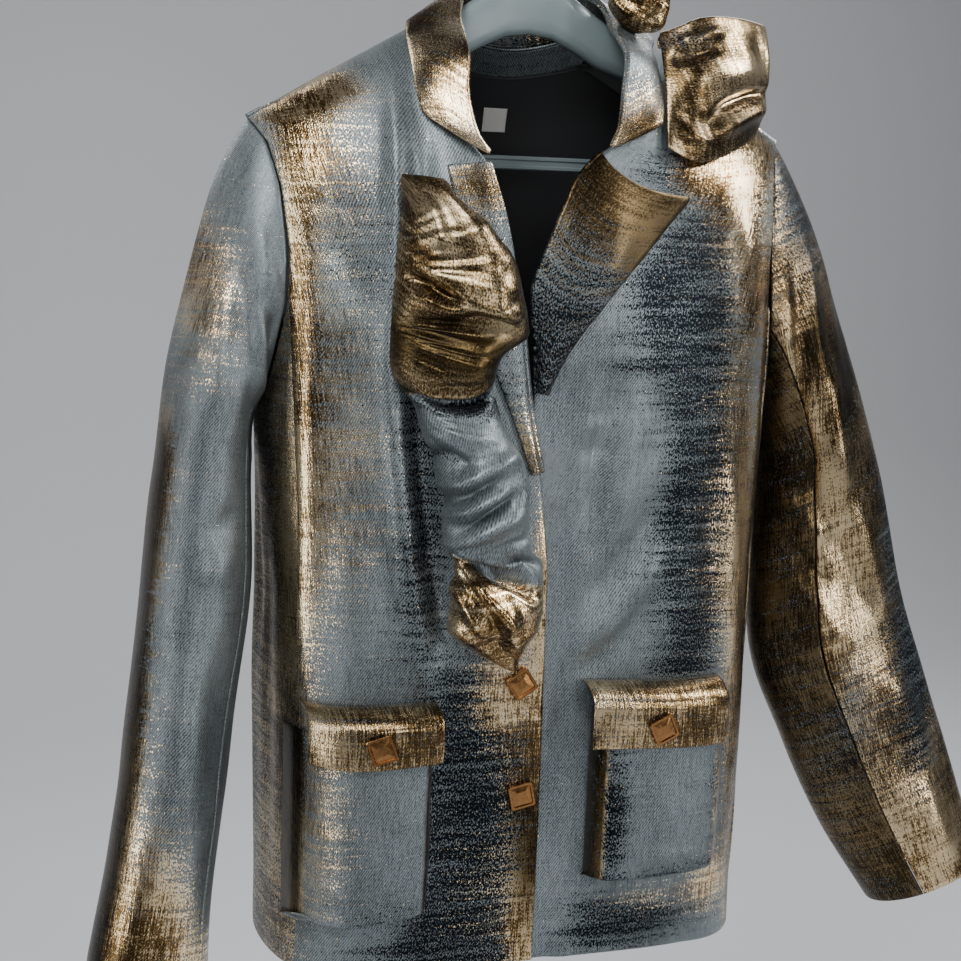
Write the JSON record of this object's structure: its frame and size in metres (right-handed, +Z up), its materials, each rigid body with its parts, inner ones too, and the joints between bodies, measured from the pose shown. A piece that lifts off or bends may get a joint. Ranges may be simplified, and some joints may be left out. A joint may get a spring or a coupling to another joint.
{
  "type": "blazer on a hanger",
  "caption": "Woman's blazer of metallic twill hung on a hanger, with notched lapels, a ruched ruffle, a shoulder bow, flapped bellows pockets and square buttons.",
  "frame": {"origin": "inner top of the hanger's hook, where a rod carries it", "axes": "+Z up along the hook, +X to the wearer's left across the shoulders, the front faces -Y"},
  "size_m": [0.7371, 0.2405, 0.842],
  "materials": {
    "cloth": "twill of blue-grey and metal thread, soft metallic sheen",
    "cloth_gold": "the same twill where gold thread shows, bright metallic sheen",
    "lining": "plain matt lining",
    "label": "plain woven label, bare",
    "brass": "polished, raised rim",
    "plastic": "smooth satin",
    "steel": "polished wire"
  },
  "bodies": {
    "root": {"front_right": "cloth", "front_left": "cloth", "side_right": "cloth", "side_left": "cloth", "back": "cloth", "sleeve_right_top": "cloth", "sleeve_right_under": "cloth", "sleeve_left_top": "cloth_gold", "sleeve_left_under": "cloth_gold", "collar": "cloth", "lapel_right": "cloth", "lapel_left": "cloth_gold", "neck_facing": "cloth", "lining_back": "lining", "label": "label", "ruffle": "cloth_gold", "bow_wing": "cloth_gold", "bow_knot": "cloth_gold", "bow_back": "cloth_gold", "pocket_right": "cloth", "pocket_left": "cloth", "flap_right": "cloth_gold", "flap_left": "cloth_gold", "button_front_upper": "brass", "button_front_lower": "brass", "button_flap_right": "brass", "button_flap_left": "brass", "hanger_body": "plastic", "hanger_bar": "plastic", "hanger_hook": "steel"}
  },
  "joints": []
}
